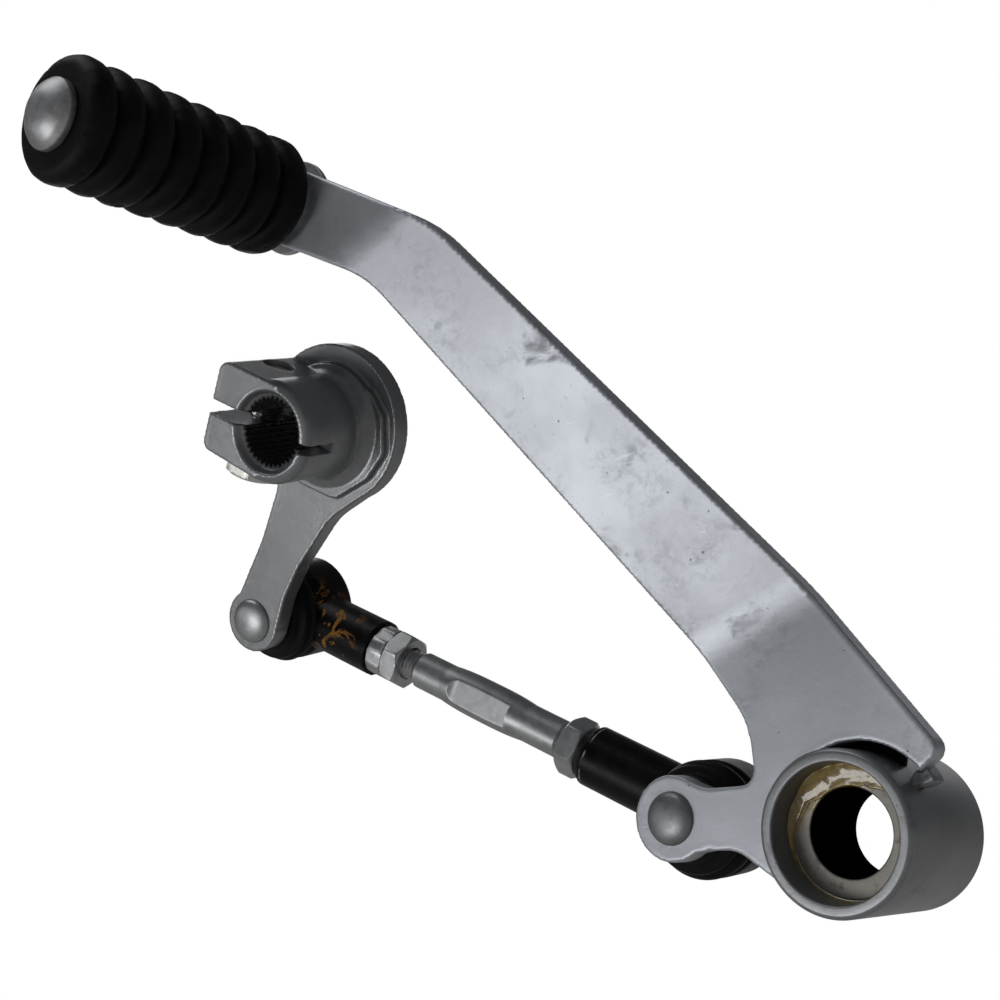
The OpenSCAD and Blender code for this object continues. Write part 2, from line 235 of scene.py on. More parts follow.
def welded_copy(node):
    """A closed copy of a CAD node's mesh."""
    mesh = frame["nodes"][node].data.copy()
    bm = bmesh.new()
    bm.from_mesh(mesh)
    bmesh.ops.remove_doubles(bm, verts=bm.verts, dist=WELD_DISTANCE)
    bm.to_mesh(mesh)
    bm.free()
    return mesh


def forged(name, node, voxel, rounds, keep=None):
    """A CAD node's shape with soft, even edges: voxels, then smoothing."""
    source = bpy.data.objects.new(name + ".src", welded_copy(node))
    bpy.context.scene.collection.objects.link(source)
    remesh = source.modifiers.new("remesh", "REMESH")
    remesh.mode = "VOXEL"
    remesh.voxel_size = voxel * VOXEL_SCALE * MM
    graph = bpy.context.evaluated_depsgraph_get()
    mesh = bpy.data.meshes.new_from_object(source.evaluated_get(graph))
    bpy.data.objects.remove(source)
    mesh.name = name
    mesh.materials.clear()
    relax(mesh, rounds, keep)
    obj = bpy.data.objects.new(name, mesh)
    bpy.context.scene.collection.objects.link(obj)
    return obj


def finish_piece(obj, node, material, body=None, angle=35.0, stands=True):
    obj.data.materials.clear()
    obj.data.materials.append(material)
    obj.data.polygons.foreach_set("use_smooth", [True] * len(obj.data.polygons))
    obj.data.update()
    if angle is not None:
        obj.data.set_sharp_from_angle(angle=math.radians(angle))
    if stands:
        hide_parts(node)
    if body != "":
        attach(obj, body or BODY_OF[node])
    return obj


def fractal(p, scale, octaves=3):
    """Smooth noise about -1 to 1 at a point in mm."""
    value, gain = 0.0, 1.0
    for k in range(octaves):
        value += gain * noise.noise(Vector(p) * scale * 2**k)
        gain *= 0.5
    return value


# ---------------------------------------------------------------- material tools


class Graph:
    """A short way to write a material's nodes. Lengths are in millimetres of object space."""

    SOCKETS = {
        "color": "Base Color",
        "metallic": "Metallic",
        "rough": "Roughness",
        "normal": "Normal",
        "coat": "Coat Weight",
        "coat_rough": "Coat Roughness",
        "ior": "IOR",
        "specular": "Specular IOR Level",
    }

    def __init__(self, name):
        self.material = bpy.data.materials.new(name)
        self.material.use_nodes = True
        self.tree = self.material.node_tree
        self.tree.nodes.clear()
        self.out = self.tree.nodes.new("ShaderNodeOutputMaterial")
        self.bsdf = self.tree.nodes.new("ShaderNodeBsdfPrincipled")
        self.tree.links.new(self.bsdf.outputs[0], self.out.inputs[0])
        coords = self.tree.nodes.new("ShaderNodeTexCoord")
        scaled = self.tree.nodes.new("ShaderNodeVectorMath")
        scaled.operation = "SCALE"
        scaled.inputs["Scale"].default_value = 1 / MM
        self.tree.links.new(coords.outputs["Object"], scaled.inputs[0])
        self.co = scaled.outputs[0]

    def link(self, value, socket):
        if isinstance(value, bpy.types.NodeSocket):
            self.tree.links.new(value, socket)
        else:
            socket.default_value = value

    def math(self, op, a, b, clamp=False):
        n = self.tree.nodes.new("ShaderNodeMath")
        n.operation = op
        n.use_clamp = clamp
        for value, socket in zip((a, b), n.inputs):
            self.link(value, socket)
        return n.outputs[0]

    def vector(self, op, a, b):
        n = self.tree.nodes.new("ShaderNodeVectorMath")
        n.operation = op
        self.link(a, n.inputs[0])
        self.link(b, n.inputs[1])
        return n.outputs["Value"] if op in ("DOT_PRODUCT", "DISTANCE", "LENGTH") else n.outputs[0]

    def times(self, a, b):
        return self.math("MULTIPLY", a, b)

    def plus(self, a, b):
        return self.math("ADD", a, b)

    def minus(self, a, b):
        return self.math("SUBTRACT", a, b)

    def scaled(self, vector, factor):
        n = self.tree.nodes.new("ShaderNodeVectorMath")
        n.operation = "SCALE"
        n.inputs[0].default_value = vector
        self.link(factor, n.inputs["Scale"])
        return n.outputs[0]

    def spread(self, value):
        """A point with value as its X."""
        n = self.tree.nodes.new("ShaderNodeCombineXYZ")
        self.link(value, n.inputs[0])
        return n.outputs[0]

    def noise(self, per_mm, detail=3.0, rough=0.55, where=None, warp=0.0):
        n = self.tree.nodes.new("ShaderNodeTexNoise")
        n.inputs["Scale"].default_value = per_mm
        n.inputs["Detail"].default_value = detail
        n.inputs["Roughness"].default_value = rough
        n.inputs["Distortion"].default_value = warp
        self.link(self.co if where is None else where, n.inputs["Vector"])
        return n.outputs[0]

    def cells(self, per_mm, where):
        n = self.tree.nodes.new("ShaderNodeTexVoronoi")
        n.inputs["Scale"].default_value = per_mm
        self.link(where, n.inputs["Vector"])
        return n.outputs["Distance"]

    def step(self, value, low, high):
        """0 below low, 1 above high, smooth between; low may be above high."""
        n = self.tree.nodes.new("ShaderNodeMapRange")
        n.interpolation_type = "SMOOTHSTEP"
        if low > high:
            low, high = high, low
            n.inputs["To Min"].default_value, n.inputs["To Max"].default_value = 1.0, 0.0
        n.inputs["From Min"].default_value = low
        n.inputs["From Max"].default_value = high
        self.link(value, n.inputs["Value"])
        return n.outputs["Result"]

    def mix(self, share, a, b):
        n = self.tree.nodes.new("ShaderNodeMix")
        n.data_type = "RGBA"
        self.link(share, n.inputs[0])
        for value, socket in ((a, n.inputs[6]), (b, n.inputs[7])):
            self.link(tuple(value) + (1.0,) if isinstance(value, (tuple, list)) else value, socket)
        return n.outputs[2]

    def blend(self, share, a, b):
        """The number between a and b at share."""
        n = self.tree.nodes.new("ShaderNodeMix")
        n.data_type = "FLOAT"
        self.link(share, n.inputs[0])
        self.link(a, n.inputs[2])
        self.link(b, n.inputs[3])
        return n.outputs[0]

    def edge(self, radius):
        """0 on flat surfaces, up to 1 on edges that stand out within radius mm."""
        bevel = self.tree.nodes.new("ShaderNodeBevel")
        bevel.samples = 4
        bevel.inputs["Radius"].default_value = radius * MM
        same = self.vector("DOT_PRODUCT", bevel.outputs[0], self.normal())
        return self.math("SUBTRACT", 1.0, same, clamp=True)

    def normal(self):
        return self.tree.nodes.new("ShaderNodeNewGeometry").outputs["Normal"]

    def bump(self, height, depth, strength):
        n = self.tree.nodes.new("ShaderNodeBump")
        n.inputs["Strength"].default_value = strength
        n.inputs["Distance"].default_value = depth * MM
        self.link(height, n.inputs["Height"])
        return n.outputs[0]

    def set(self, **values):
        """Feeds the shader's inputs and returns the material."""
        for key, value in values.items():
            if isinstance(value, tuple) and len(value) == 3:
                value = value + (1.0,)
            self.link(value, self.bsdf.inputs[self.SOCKETS[key]])
        return self.material

    @staticmethod
    def of(material):
        """A Graph that goes on with a finished material."""
        g = Graph.__new__(Graph)
        g.material, g.tree = material, material.node_tree
        g.bsdf = next(n for n in g.tree.nodes if n.type == "BSDF_PRINCIPLED")
        coords = next(n for n in g.tree.nodes if n.type == "TEX_COORD")
        g.co = coords.outputs["Object"].links[0].to_node.outputs[0]
        return g

    def was(self, key):
        """The socket that feeds an input now."""
        return self.bsdf.inputs[self.SOCKETS[key]].links[0].from_socket


def tint(color, factor):
    """A colour made lighter or darker, no channel above 1."""
    return tuple(min(1.0, c * factor) for c in color)


def in_mm(point):
    return tuple(c / MM for c in point)


CHIP = (0.03, 0.03, 0.032)
GRIME = (0.05, 0.045, 0.04)
GREASE_FILM = (0.26, 0.17, 0.035)
GREASE_DARK, GREASE_PALE = (0.15, 0.09, 0.005), (0.3, 0.2, 0.022)
# painted shade colour for the sleeve's bore
SLEEVE_BORE_SHADE = (0.0035, 0.003, 0.0025)
DUST = (0.09, 0.088, 0.085)
RUBBED_RUBBER = (0.05, 0.05, 0.052)
RUBBED_COAT = (0.22, 0.21, 0.2)
OCHRE = (0.33, 0.145, 0.025)
PALE_RIM = (0.4, 0.36, 0.29)
# painted shade colour for the shaft's bore
BORE_SHADE_BLACK = (0.006, 0.006, 0.006)
# painted shadow colour for the gap behind the lever plate
GAP_SHADE_BLACK = (0.004, 0.004, 0.0045)


def silver_paint(name, base, shade, rough, scuffs, chips, wear, metallic=0.55, seed=0.0):
    """Sprayed silver over steel: flake, smudges, pin-point dirt, fine scratches, chips and rubbed edges."""
    g = Graph(name)
    here = g.vector("ADD", g.co, (seed, seed * 1.7, -seed))
    flake = g.cells(7.0, here)
    cloud = g.noise(0.045, 4, 0.6, here)
    smudge = g.step(g.noise(0.11, 5, 0.7, here, 0.6), 0.52, 0.72)
    smudge = g.times(smudge, g.step(cloud, 0.42, 0.62))
    grit = g.step(g.noise(1.9, 3, 0.6, here), 0.64, 0.72)
    haze = g.step(g.noise(0.5, 6, 0.75, here), 0.45, 0.62)
    haze = g.times(haze, g.step(g.noise(0.06, 2, 0.5, here), 0.45, 0.6))
    along_scratches = g.vector("MULTIPLY", here, (0.35, 1.0, 2.6))
    scratch = g.step(g.noise(0.5, 2, 0.5, along_scratches, 0.3), 0.72, 0.75)
    pits = g.step(g.cells(0.33, here), 0.085, 0.05)
    pits = g.times(pits, g.step(g.noise(0.16, 2, 0.5, here), 0.47, 0.55))
    color = g.mix(g.step(cloud, 0.35, 0.68), shade, base)
    color = g.mix(g.times(g.step(flake, 0.0, 0.6), 0.22), color, tint(base, 1.35))
    color = g.mix(g.times(haze, 0.5 * scuffs), color, tint(shade, 0.5))
    color = g.mix(g.times(smudge, scuffs), color, tint(shade, 0.42))
    color = g.mix(g.times(grit, 0.55 * scuffs), color, tint(shade, 0.35))
    color = g.mix(g.times(scratch, 0.5 * scuffs), color, tint(base, 1.5))
    color = g.mix(g.times(pits, chips), color, CHIP)
    edge = g.edge(0.55)
    ragged = g.plus(edge, g.times(g.minus(g.noise(1.1, 4, 0.7, here), 0.5), 0.5))
    worn = g.step(ragged, 0.27, 0.34)
    color = g.mix(g.times(worn, wear), color, CHIP)
    bright = g.times(g.step(ragged, 0.08, 0.18), g.minus(1.0, worn))
    color = g.mix(g.times(bright, 0.4 * wear), color, tint(base, 1.6))
    roughness = g.plus(rough, g.times(smudge, 0.16))
    roughness = g.plus(roughness, g.times(worn, 0.1))
    height = g.plus(g.times(flake, 0.25), g.times(g.noise(0.8, 3, 0.6, here), 0.9))
    height = g.minus(height, g.times(g.plus(worn, pits), 0.6))
    return g.set(color=color, metallic=metallic, rough=roughness, normal=g.bump(height, 0.05, 0.5))


def bare_metal(name, base, rough, grime, lines, axis, centre, seed, metallic=0.95):
    """Plated or turned metal: fine lines about an axis, stains, scuffs, rubbed edges."""
    g = Graph(name)
    here = g.vector("ADD", g.co, (seed, -seed, seed * 0.6))
    stain = g.noise(0.35, 5, 0.65, here)
    fine = g.noise(3.2, 3, 0.6, here)
    scuff = g.step(g.noise(0.9, 3, 0.6, g.vector("MULTIPLY", here, (0.6, 1.8, 1.0)), 0.5), 0.6, 0.68)
    color = g.mix(g.step(stain, 0.3, 0.7), tint(base, 0.72), base)
    color = g.mix(g.times(g.step(stain, 0.55, 0.72), grime), color, GRIME)
    color = g.mix(g.times(scuff, 0.35), color, tint(base, 1.4))
    edge = g.plus(g.edge(0.3), g.times(g.minus(fine, 0.5), 0.25))
    edge = g.step(edge, 0.08, 0.2)
    color = g.mix(g.times(edge, 0.6), color, tint(base, 1.5))
    height = g.times(fine, 0.4)
    away = g.vector("SUBTRACT", g.co, in_mm(centre))
    along = g.vector("DOT_PRODUCT", away, tuple(axis))
    off = g.vector("SUBTRACT", away, g.scaled(tuple(axis), along))
    radius = g.vector("LENGTH", off, (0, 0, 0))
    turning = g.plus(g.times(radius, 9.0), g.times(along, 7.0))
    groove = g.noise(1.0, 2, 0.6, g.spread(turning))
    height = g.plus(height, g.times(groove, lines))
    color = g.mix(g.times(g.step(groove, 0.6, 0.4), 0.25), color, tint(base, 0.5))
    roughness = g.blend(stain, rough - 0.08, rough + 0.16)
    return g.set(color=color, metallic=metallic, rough=roughness, normal=g.bump(height, 0.03, 0.6))


def greased_sleeve(name, base, bore):
    """Turned steel face with grease film near the top, and painted shade in the bore: near-black, duller and
    without specular.
    """
    material = bare_metal(
        name, base, rough=0.5, grime=0.75, lines=0.5, axis=Y_AXIS, centre=PIVOT, seed=3.0, metallic=0.55
    )
    g = Graph.of(material)
    off = g.vector("MULTIPLY", g.co, (1.0, 0.0, 1.0))
    radius = g.vector("LENGTH", off, (0, 0, 0))
    # painted shade: the bore's inner face
    bore_shade_mask = g.step(radius, bore + 0.35, bore + 0.05)
    upward = g.vector("DOT_PRODUCT", off, (-0.35, 0.0, 1.0))
    film = g.plus(upward, g.times(g.noise(0.7, 4, 0.6), 5.0))
    film = g.times(g.step(film, 5.5, 10.5), g.minus(1.0, bore_shade_mask))
    color = g.mix(g.times(film, 0.75), g.was("color"), GREASE_FILM)
    color = g.mix(bore_shade_mask, color, SLEEVE_BORE_SHADE)
    roughness = g.blend(bore_shade_mask, g.blend(film, g.was("rough"), 0.16), 0.45)
    return g.set(
        color=color, rough=roughness, metallic=g.blend(bore_shade_mask, g.blend(film, 0.55, 0.2), 0.0),
        specular=g.blend(bore_shade_mask, 0.5, 0.0), coat=film, coat_rough=0.1,
    )


def black_rubber(name, base, rough, dust, seed=0.0):
    """Matte rubber: fine grain, pale dust in streaks, rubbed crests, small nicks."""
    g = Graph(name)
    here = g.vector("ADD", g.co, (seed, seed, seed))
    grain = g.noise(4.5, 4, 0.7, here)
    cloud = g.noise(0.22, 4, 0.6, here, 0.4)
    nick = g.step(g.noise(0.75, 3, 0.6, here, 1.2), 0.67, 0.72)
    color = g.mix(g.step(cloud, 0.35, 0.7), base, tint(base, 1.9))
    powder = g.step(g.noise(1.4, 5, 0.75, here), 0.55, 0.75)
    color = g.mix(g.times(powder, dust), color, DUST)
    edge = g.step(g.edge(0.5), 0.05, 0.3)
    color = g.mix(g.times(edge, 0.25), color, RUBBED_RUBBER)
    color = g.mix(g.times(nick, 0.7), color, tint(base, 0.4))
    height = g.minus(g.plus(g.times(grain, 0.5), cloud), g.times(nick, 0.9))
    return g.set(
        color=color,
        rough=g.blend(cloud, rough - 0.1, rough + 0.12),
        specular=0.12,
        normal=g.bump(height, 0.12, 0.7),
    )


def black_coat(name, base, rough, centre=None, smear=0.0, reach=0.0, seed=0.0, rim=None):
    """Black-coated forging, slightly glossy, with rubbed edges.

    smear: strength of the ochre smears within reach of centre; rim: place of a pale band along the rod.
    """
    g = Graph(name)
    here = g.vector("ADD", g.co, (seed, -seed * 2, seed))
    cast = g.noise(1.3, 4, 0.65, here)
    cloud = g.noise(0.25, 4, 0.6, here)
    color = g.mix(g.step(cloud, 0.35, 0.7), base, tint(base, 2.2))
    ragged = g.times(g.minus(g.noise(1.5, 3, 0.7, here), 0.5), 0.3)
    rubbed = g.step(g.plus(g.edge(0.5), ragged), 0.12, 0.3)
    color = g.mix(g.times(rubbed, 0.6), color, RUBBED_COAT)
    roughness = g.blend(cloud, rough - 0.06, rough + 0.16)
    if smear:
        near = g.step(g.vector("DISTANCE", g.co, in_mm(centre)), reach, reach * 0.35)
        streak = g.noise(0.2, 2, 0.5, g.vector("MULTIPLY", here, (1.0, 0.8, 1.3)), 1.6)
        band = g.times(g.step(streak, 0.565, 0.585), g.step(streak, 0.7, 0.67))
        thin = g.step(g.noise(1.1, 4, 0.7, here), 0.36, 0.5)
        paint = g.times(g.times(g.times(near, band), thin), smear)
        color = g.mix(paint, color, OCHRE)
        roughness = g.plus(roughness, g.times(paint, 0.25))
    if rim is not None:
        along = g.vector("DOT_PRODUCT", g.vector("SUBTRACT", g.co, in_mm(centre)), tuple(ROD_DIR))
        band = g.times(g.step(along, rim - 0.35, rim - 0.2), g.step(along, rim + 0.1, rim - 0.05))
        band = g.times(band, g.step(g.noise(0.5, 4, 0.6, here), 0.42, 0.56))
        color = g.mix(g.times(band, 0.8), color, PALE_RIM)
    height = g.plus(g.times(cast, 0.8), g.times(cloud, 0.8))
    return g.set(color=color, rough=roughness, specular=0.12, normal=g.bump(height, 0.08, 0.6))


def plain_plastic(name, base, rough):
    """Cloudy, slightly rough plastic."""
    g = Graph(name)
    cloud = g.noise(0.6, 3, 0.6)
    color = g.mix(g.step(cloud, 0.3, 0.7), tint(base, 0.75), base)
    roughness = g.blend(cloud, rough - 0.08, rough + 0.1)
    return g.set(color=color, rough=roughness, normal=g.bump(g.noise(3, 3), 0.02, 0.4))


def amber_grease(name):
    """Wet grease, darker and paler in patches."""
    g = Graph(name)
    cloud = g.noise(0.9, 4, 0.6, None, 0.8)
    color = g.mix(g.step(cloud, 0.35, 0.65), GREASE_DARK, GREASE_PALE)
    return g.set(
        color=color, rough=g.blend(cloud, 0.25, 0.42), coat=1.0, coat_rough=0.05, metallic=0.0,
        ior=1.5, normal=g.bump(g.noise(0.9, 2, 0.5), 0.15, 1.0),
    )


def paint_bore_shade(material, centre, axis, radius, share=0.86):
    """Painted shade: darkens a material within a radius (mm) of an axis, where a bore lies in shade."""
    g = Graph.of(material)
    away = g.vector("SUBTRACT", g.co, in_mm(centre))
    along = g.vector("DOT_PRODUCT", away, tuple(axis))
    off = g.vector("SUBTRACT", away, g.scaled(tuple(axis), along))
    # painted shade: the part of the material that lies within the bore
    near = g.step(g.vector("LENGTH", off, (0, 0, 0)), radius + 0.15, radius - 0.35)
    color = g.mix(g.times(near, share), g.was("color"), BORE_SHADE_BLACK)
    return g.set(color=color, rough=g.blend(near, g.was("rough"), 0.5))


def paint_gap_shade(material, plate_back, past):
    """Painted shadow: near-black where the material faces the plate from behind it, up to x = past, in the
    gap between plate and boss.
    """
    g = Graph.of(material)
    gap_shade_mask = g.step(g.vector("DOT_PRODUCT", g.co, tuple(Y_AXIS)), plate_back - 0.7, plate_back - 0.2)
    gap_shade_mask = g.times(gap_shade_mask, g.step(g.vector("DOT_PRODUCT", g.co, tuple(X_AXIS)), past + 0.6, past))
    gap_shade_mask = g.times(gap_shade_mask, g.step(g.vector("DOT_PRODUCT", g.normal(), tuple(Y_AXIS)), 0.3, 0.0))
    color = g.mix(gap_shade_mask, g.was("color"), GAP_SHADE_BLACK)
    return g.set(color=color, rough=g.blend(gap_shade_mask, g.was("rough"), 0.8))


SHAFT = MOUNTS["shaft_clamp"]
SHAFT_AXIS = -Vector(SHAFT["axis"])
CLAMP_HALF = SHAFT["dims"]["length_mm"] / 2 * MM
SHAFT_AT, SHAFT_R = Vector(SHAFT["pos_m"]), SHAFT["dims"]["r_mm"]
PLATE_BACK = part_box("lever_plate")[1].y / MM
BOSS_GAP_END = 12.0
COAT_BLACK, RUBBER_BLACK = (0.0025, 0.0025, 0.003), (0.003, 0.003, 0.0035)

PLATE = silver_paint(
    "plate_paint", (0.44, 0.46, 0.5), (0.33, 0.345, 0.375), rough=0.4, scuffs=0.55, chips=0.6, wear=0.75
)
BOSS = silver_paint(
    "boss_paint", (0.25, 0.258, 0.27), (0.175, 0.178, 0.185),
    rough=0.36, scuffs=0.4, chips=0.5, wear=0.6, metallic=0.65, seed=11.0,
)
ARM = silver_paint(
    "arm_paint", (0.235, 0.243, 0.256), (0.17, 0.174, 0.18),
    rough=0.29, scuffs=0.4, chips=0.4, wear=0.35, metallic=0.6, seed=23.0,
)
# painted shade in the clamp arm's bore
ARM = paint_bore_shade(ARM, SHAFT_AT, SHAFT_AXIS, SHAFT_R + 1.0)
WELD = silver_paint(
    "weld_paint", (0.26, 0.27, 0.28), (0.16, 0.165, 0.17),
    rough=0.4, scuffs=0.6, chips=0.6, wear=0.3, metallic=0.6, seed=31.0,
)
# painted shadow on the weld seen through the gap behind the plate
WELD = paint_gap_shade(WELD, PLATE_BACK, BOSS_GAP_END)
SLEEVE = greased_sleeve("sleeve_steel", (0.36, 0.345, 0.31), MOUNTS["pivot_bore"]["dims"]["r_mm"])
BRONZE = bare_metal(
    "bush_bronze", (0.62, 0.56, 0.42), rough=0.28, grime=0.6, lines=0.6, axis=Y_AXIS, centre=PIVOT, seed=5.0
)
STUD = bare_metal(
    "stud_steel", (0.27, 0.275, 0.285),
    rough=0.38, grime=0.25, lines=0.15, axis=Y_AXIS, centre=LEVER_BALL, seed=7.0, metallic=0.8,
)
ARM_STUD_STEEL = bare_metal(
    "arm_stud_steel", (0.4, 0.41, 0.42),
    rough=0.34, grime=0.25, lines=0.15, axis=Y_AXIS, centre=LEVER_BALL, seed=27.0, metallic=0.85,
)
PIN = bare_metal(
    "peg_steel", (0.42, 0.425, 0.435),
    rough=0.4, grime=0.45, lines=0.1, axis=Y_AXIS, centre=LEVER_BALL, seed=9.0, metallic=0.8,
)
ZINC = bare_metal(
    "rod_zinc", (0.42, 0.43, 0.44),
    rough=0.38, grime=0.3, lines=0.25, axis=ROD_DIR, centre=LEVER_BALL, seed=13.0, metallic=0.85,
)
NUT = bare_metal(
    "nut_zinc", (0.5, 0.51, 0.52),
    rough=0.34, grime=0.35, lines=0.1, axis=ROD_DIR, centre=LEVER_BALL, seed=17.0, metallic=0.9,
)
BOLT = bare_metal(
    "bolt_zinc", (0.75, 0.74, 0.7),
    rough=0.3, grime=0.3, lines=0.1, axis=SHAFT_AXIS, centre=ARM_BALL, seed=19.0, metallic=0.9,
)
# painted shade on the bolt's thread where it runs through the bore
BOLT = paint_bore_shade(BOLT, SHAFT_AT, SHAFT_AXIS, SHAFT_R + 2.6)
PEG_RUBBER = black_rubber("peg_rubber", RUBBER_BLACK, rough=0.5, dust=0.08)
BOOT = black_rubber("boot_rubber", RUBBER_BLACK, rough=0.42, dust=0.05, seed=40.0)
HOUSING = black_coat("housing_black", COAT_BLACK, rough=0.3, centre=LEVER_BALL, rim=26.2)
SMEAR_AT = ARM_BALL - ROD_DIR * 12 * MM - Y_AXIS * 5 * MM
HOUSING_SMEARED = black_coat(
    "housing_black_smeared", COAT_BLACK, rough=0.3, centre=SMEAR_AT, smear=0.8, reach=12.0, seed=5.0
)
CAP = black_coat("cap_black", (0.012, 0.012, 0.013), rough=0.42, seed=9.0)
SEAT = plain_plastic("seat_plastic", (0.62, 0.58, 0.48), rough=0.42)
GREASE = amber_grease("amber_grease")

# ---------------------------------------------------------------- pivot: boss, sleeve, bush, grease

AT_PIVOT = place(PIVOT, X_AXIS, Y_AXIS)


def span(node, axis):
    """Where a CAD node starts and ends along an axis, in mm."""
    low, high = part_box(node)
    return low[axis] / MM, high[axis] / MM


boss_front, boss_back = span("pivot_boss", 1)
boss_r = span("pivot_boss", 0)[1]
sleeve_front, sleeve_back = span("pivot_sleeve", 1)
sleeve_r = span("pivot_sleeve", 0)[1]
bush_r = span("pivot_bush", 0)[1]
bore_r = MOUNTS["pivot_bore"]["dims"]["r_mm"]

finish_piece(
    turned(
        "pivot_boss_turned",
        rounded([
            (bush_r, boss_front, 0.35), (boss_r, boss_front, 0.9),
            (boss_r, boss_back, 0.8), (bush_r, boss_back, 0.4),
        ]),
        AT_PIVOT, True, 192,
    ),
    "pivot_boss", BOSS,
)
finish_piece(
    turned(
        "pivot_sleeve_turned",
        rounded([
            (bore_r, sleeve_front, 0.45), (sleeve_r, sleeve_front, 0.22), (sleeve_r, sleeve_back, 0.3),
            (bore_r, sleeve_back, 0.55),
        ]),
        AT_PIVOT, True, 160,
    ),
    "pivot_sleeve", SLEEVE,
)
finish_piece(
    turned(
        "pivot_bush_turned",
        rounded([
            (sleeve_r + 0.02, sleeve_front, 0.2), (bush_r, sleeve_front, 0.15),
            (bush_r, sleeve_back, 0.1), (sleeve_r + 0.05, sleeve_back, 0.12),
        ]),
        AT_PIVOT, True, 128,
    ),
    "pivot_bush", BRONZE,
)


def grease_rings(count=200, steps=12):
    """Grease in the recess: a thick fillet at the upper left that runs over the face and thins out."""
    thickest, widest = math.radians(128), math.radians(98)
    full = bush_r - bore_r - 0.15
    wall, face = bush_r - 0.01, sleeve_front - 0.01
    rings = []
    for k in range(count):
        a = TAU * k / count
        c, s = math.cos(a), math.sin(a)
        top = max(0.0, math.cos(a - thickest)) ** 1.3
        over = max(0.0, math.cos((a - widest) * 0.8)) ** 1.6 if abs(a - widest) < 1.9 else 0.0
        lump = 0.5 + 0.5 * fractal((c * 1.6, 0.0, s * 1.6), 1.7)
        up = 0.1 + 0.15 * over + 1.5 * top * lump
        inward = min(full, 0.12 + full * over * (0.75 + 0.55 * lump))
        section = [(wall, face - up)]
        for j in range(1, steps):
            t = j / steps
            film = 0.12 * over * (0.6 + 0.8 * fractal((c * 2.2, t * 1.2, s * 2.2), 1.4))
            height = up * (1 - t) ** 3.2 + film * math.sin(math.pi * t)
            section.append((wall - inward * t, face - max(0.03, height)))
        section += [(wall - inward, face), (wall, face)]
        rings.append([(r * c, y, r * s) for r, y in section])
    return rings


grease = skin("recess_grease", grease_rings(), AT_PIVOT, True)
finish_piece(grease, "pivot_boss", GREASE, angle=None, stands=False)

# ---------------------------------------------------------------- lever plate and welds

finish_piece(forged("lever_plate_pressed", "lever_plate", 0.36, 12), "lever_plate", PLATE, angle=None)

TIP_ROOT, TIP_TOP, TIP_STRETCH = 16.8, 13.4, 2.2
BEAD_OVER_BOSS, BEAD_BELOW_LEFT, BEAD_SQUEEZE = 3.3, 0.5, 0.15

welds = forged("boss_weld_beads", "boss_welds", 0.22, 14)
for v in welds.data.vertices:
    p = v.co / MM
    turn = math.atan2(p.z, p.x)
    ripple = 0.14 * math.sin(turn * 46) + 0.12 * fractal(p, 0.9)
    v.co += v.co.normalized() * ripple * MM
    reach = math.hypot(v.co.x, v.co.z) / MM
    if 0 < p.z < p.x and TIP_TOP < reach < TIP_ROOT:  # the bead at the plate's tip reaches down to the boss
        lower = TIP_ROOT - (TIP_ROOT - reach) * TIP_STRETCH
        v.co.x, v.co.z = v.co.x * lower / reach, v.co.z * lower / reach
        reach = lower
    most = boss_r + (BEAD_BELOW_LEFT if v.co.x < 0 and v.co.z < 0 else BEAD_OVER_BOSS)
    if reach > most:
        shrink = (most + BEAD_SQUEEZE * (reach - most)) / reach
        v.co.x, v.co.z = v.co.x * shrink, v.co.z * shrink
finish_piece(welds, "boss_welds", WELD, angle=None)

# ---------------------------------------------------------------- foot peg

end_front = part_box("lever_plate")[0].y / MM
PEG_LOW, PEG_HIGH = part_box("peg_rubber")
peg_axis_at = (PEG_LOW + PEG_HIGH) / 2
AT_PEG = place(Vector((peg_axis_at.x, 0, peg_axis_at.z)), X_AXIS, Y_AXIS)
rubber_front, rubber_back = span("peg_rubber", 1)
rubber_r = (PEG_HIGH.x - PEG_LOW.x) / 2 / MM
PLATE_T = 4
core_r = 5.0
neck_r = core_r - 1
head_r, head_t = 6.4, 4.2
collar_r, collar_t = 9, 1.1
rivet_r, rivet_t = 9.3, 2.8
end_back = end_front + PLATE_T

finish_piece(
    turned(
        "peg_pin_turned",
        dense(rounded([
            (0, rubber_front - head_t, 0), (0.5 * head_r, rubber_front - 0.92 * head_t, 6),
            (0.86 * head_r, rubber_front - 0.55 * head_t, 3), (head_r, rubber_front - 0.3 * head_t, 0.5),
            (head_r, rubber_front, 0.3), (core_r, rubber_front, 0), (core_r, end_front - collar_t, 0),
            (collar_r, end_front - collar_t, 0.3), (collar_r, end_front, 0),
            (neck_r, end_front, 0), (neck_r, end_back, 0),
            (rivet_r, end_back, 0.2), (rivet_r, end_back + 1.3, 0.9),
            (7, end_back + 2.5, 3), (0, end_back + rivet_t, 0),
        ], closed=False), 0.7),
        AT_PEG, segments=96,
        shape=lambda r, y, a: r * (1 + 0.006 * fractal((math.cos(a) * 2, y * 0.3, math.sin(a) * 2), 1.3)),
    ),
    "peg_pin", PIN, angle=40,
)


